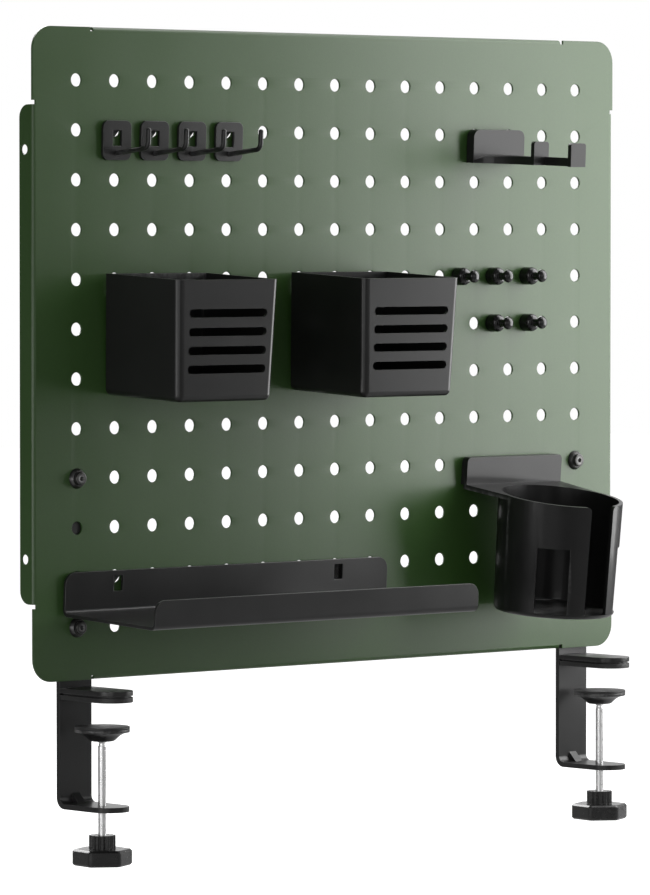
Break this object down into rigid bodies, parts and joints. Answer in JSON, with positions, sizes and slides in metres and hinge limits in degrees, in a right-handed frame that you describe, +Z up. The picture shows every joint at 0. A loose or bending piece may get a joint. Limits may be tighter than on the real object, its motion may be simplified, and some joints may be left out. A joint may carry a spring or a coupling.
{
  "type": "pegboard desk organizer",
  "caption": "Perforated steel panel that two screw clamps hold upright behind a desk, with lift-off wire hooks, headphone hanger, open bins, tray, cup holder and magnetic pegs.",
  "frame": {"origin": "the desk's rear top edge, midway between the two clamps: the underside of the upper jaws' rubber and the front face of the clamp bars", "axes": "+X to the user's right, +Y away from the user, +Z up"},
  "size_m": [0.488, 0.0999, 0.504],
  "materials": {
    "panel_green": "satin fine-texture powder coat",
    "black_steel": "satin black powder coat",
    "black_plastic": "satin moulded",
    "black_rubber": "matt",
    "bright_steel": "zinc plated",
    "dark_fastener": "black oxide",
    "magnet_nickel": "nickel plated"
  },
  "bodies": {
    "frame": {"pegboard_panel": "panel_green", "clamp_bar_left": "black_steel", "clamp_bar_right": "black_steel", "clamp_jaw_left": "black_steel", "clamp_jaw_right": "black_steel", "jaw_pad_left": "black_rubber", "jaw_pad_right": "black_rubber", "panel_screws": "dark_fastener", "panel_washers": "dark_fastener", "panel_nuts": "dark_fastener"},
    "pad_left": {"swivel_pad_left": "black_plastic", "pad_facing_left": "black_rubber"},
    "screw_left": {"clamp_screw_left": "bright_steel", "screw_knob_left": "black_plastic"},
    "pad_right": {"swivel_pad_right": "black_plastic", "pad_facing_right": "black_rubber"},
    "screw_right": {"clamp_screw_right": "bright_steel", "screw_knob_right": "black_plastic"},
    "hook_1": {"hook_plate_1": "black_steel", "hook_rod_1": "bright_steel"},
    "hook_2": {"hook_plate_2": "black_steel", "hook_rod_2": "bright_steel"},
    "hook_3": {"hook_plate_3": "black_steel", "hook_rod_3": "bright_steel"},
    "hook_4": {"hook_plate_4": "black_steel", "hook_rod_4": "bright_steel"},
    "hanger": {"headphone_hanger": "black_plastic"},
    "left_bin": {"bin_left": "black_plastic"},
    "right_bin": {"bin_right": "black_plastic"},
    "tray": {"desk_tray": "black_steel"},
    "cup": {"cup_holder": "black_plastic"},
    "peg_1": {"magnet_peg_1": "black_plastic", "magnet_disc_1": "magnet_nickel"},
    "peg_2": {"magnet_peg_2": "black_plastic", "magnet_disc_2": "magnet_nickel"},
    "peg_3": {"magnet_peg_3": "black_plastic", "magnet_disc_3": "magnet_nickel"},
    "peg_4": {"magnet_peg_4": "black_plastic", "magnet_disc_4": "magnet_nickel"},
    "peg_5": {"magnet_peg_5": "black_plastic", "magnet_disc_5": "magnet_nickel"}
  },
  "joints": [
    {"name": "pad_rise_left", "type": "slide", "parent": "frame", "child": "pad_left", "axis": [0, 0, 1], "range_m": [-0.0352, 0.0136]},
    {"name": "screw_turn_left", "type": "hinge", "parent": "pad_left", "child": "screw_left", "pos_m": [-0.21, -0.0248, -0.0223], "axis": [0, 0, 1], "range_deg": [-15840, 6120]},
    {"name": "pad_rise_right", "type": "slide", "parent": "frame", "child": "pad_right", "axis": [0, 0, 1], "range_m": [-0.0352, 0.0136]},
    {"name": "screw_turn_right", "type": "hinge", "parent": "pad_right", "child": "screw_right", "pos_m": [0.21, -0.0248, -0.0223], "axis": [0, 0, 1], "range_deg": [-15840, 6120]},
    {"name": "hook_1_lift", "type": "slide", "parent": "frame", "child": "hook_1", "axis": [0, -0.7314, 0.682], "range_m": [0, 0.06]},
    {"name": "hook_2_lift", "type": "slide", "parent": "frame", "child": "hook_2", "axis": [0, -0.7314, 0.682], "range_m": [0, 0.06]},
    {"name": "hook_3_lift", "type": "slide", "parent": "frame", "child": "hook_3", "axis": [0, -0.7314, 0.682], "range_m": [0, 0.06]},
    {"name": "hook_4_lift", "type": "slide", "parent": "frame", "child": "hook_4", "axis": [0, -0.7314, 0.682], "range_m": [0, 0.06]},
    {"name": "hanger_lift", "type": "slide", "parent": "frame", "child": "hanger", "axis": [0, -0.7361, 0.6769], "range_m": [0, 0.06]},
    {"name": "left_bin_lift", "type": "slide", "parent": "frame", "child": "left_bin", "axis": [0, -0.9781, 0.2079], "range_m": [0, 0.06]},
    {"name": "right_bin_lift", "type": "slide", "parent": "frame", "child": "right_bin", "axis": [0, -0.9781, 0.2079], "range_m": [0, 0.06]},
    {"name": "tray_lift", "type": "slide", "parent": "frame", "child": "tray", "axis": [0, -0.7431, 0.6691], "range_m": [0, 0.06]},
    {"name": "cup_lift", "type": "slide", "parent": "frame", "child": "cup", "axis": [0, -0.766, 0.6428], "range_m": [0, 0.06]},
    {"name": "peg_1_pull", "type": "slide", "parent": "frame", "child": "peg_1", "axis": [0, -1, 0], "range_m": [0, 0.03]},
    {"name": "peg_2_pull", "type": "slide", "parent": "frame", "child": "peg_2", "axis": [0, -1, 0], "range_m": [0, 0.03]},
    {"name": "peg_3_pull", "type": "slide", "parent": "frame", "child": "peg_3", "axis": [0, -1, 0], "range_m": [0, 0.03]},
    {"name": "peg_4_pull", "type": "slide", "parent": "frame", "child": "peg_4", "axis": [0, -1, 0], "range_m": [0, 0.03]},
    {"name": "peg_5_pull", "type": "slide", "parent": "frame", "child": "peg_5", "axis": [0, -1, 0], "range_m": [0, 0.03]}
  ],
  "couplings": [
    {"joint": "screw_turn_left", "follows": "pad_rise_left", "rad_per_m": 7854},
    {"joint": "screw_turn_right", "follows": "pad_rise_right", "rad_per_m": 7854}
  ]
}
